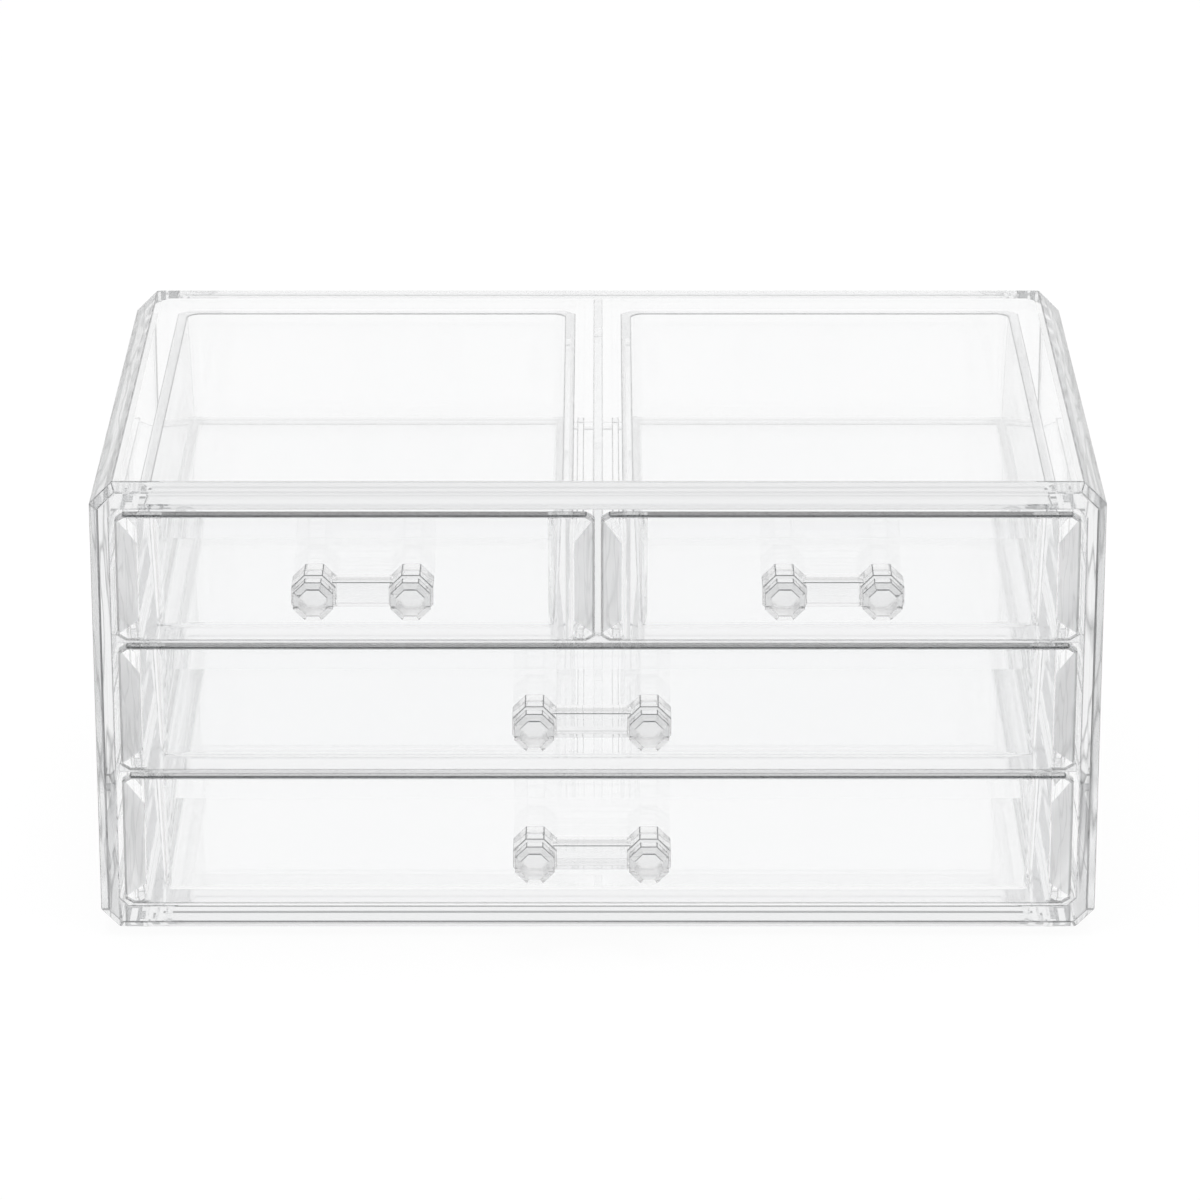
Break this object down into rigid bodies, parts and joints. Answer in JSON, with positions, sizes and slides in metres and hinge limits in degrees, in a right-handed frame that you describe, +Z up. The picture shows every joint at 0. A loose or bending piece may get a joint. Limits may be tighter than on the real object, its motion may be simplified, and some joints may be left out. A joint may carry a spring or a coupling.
{
  "type": "jewelry drawer organizer",
  "caption": "Clear moulded desktop organizer: a bevelled open-front case with half-width drawers over full-width drawers that slide out on faceted dumbbell pulls.",
  "frame": {"origin": "under the middle of the whole object, handles included, on the surface that it stands on", "axes": "+Z up, +X to the right of someone who faces the drawers, -Y the way the drawers open"},
  "size_m": [0.235, 0.1694, 0.1129],
  "materials": {
    "clear_case": "clear polished moulded polystyrene",
    "clear_drawer": "clear polished moulded polystyrene",
    "clear_handle": "clear polished moulded polystyrene, faceted",
    "clear_foot": "clear soft bumper"
  },
  "bodies": {
    "case": {"case_shell": "clear_case", "upper_shelf": "clear_case", "lower_shelf": "clear_case", "centre_divider": "clear_case", "foot_front_left": "clear_foot", "foot_front_right": "clear_foot", "foot_back_left": "clear_foot", "foot_back_right": "clear_foot"},
    "top_left_drawer": {"drawer_top_left": "clear_drawer", "handle_top_left": "clear_handle"},
    "top_right_drawer": {"drawer_top_right": "clear_drawer", "handle_top_right": "clear_handle"},
    "middle_drawer": {"drawer_middle": "clear_drawer", "handle_middle": "clear_handle"},
    "bottom_drawer": {"drawer_bottom": "clear_drawer", "handle_bottom": "clear_handle"}
  },
  "joints": [
    {"name": "top_left_slide", "type": "slide", "parent": "case", "child": "top_left_drawer", "axis": [0, -1, 0], "range_m": [0, 0.12]},
    {"name": "top_right_slide", "type": "slide", "parent": "case", "child": "top_right_drawer", "axis": [0, -1, 0], "range_m": [0, 0.12]},
    {"name": "middle_slide", "type": "slide", "parent": "case", "child": "middle_drawer", "axis": [0, -1, 0], "range_m": [0, 0.12]},
    {"name": "bottom_slide", "type": "slide", "parent": "case", "child": "bottom_drawer", "axis": [0, -1, 0], "range_m": [0, 0.12]}
  ]
}
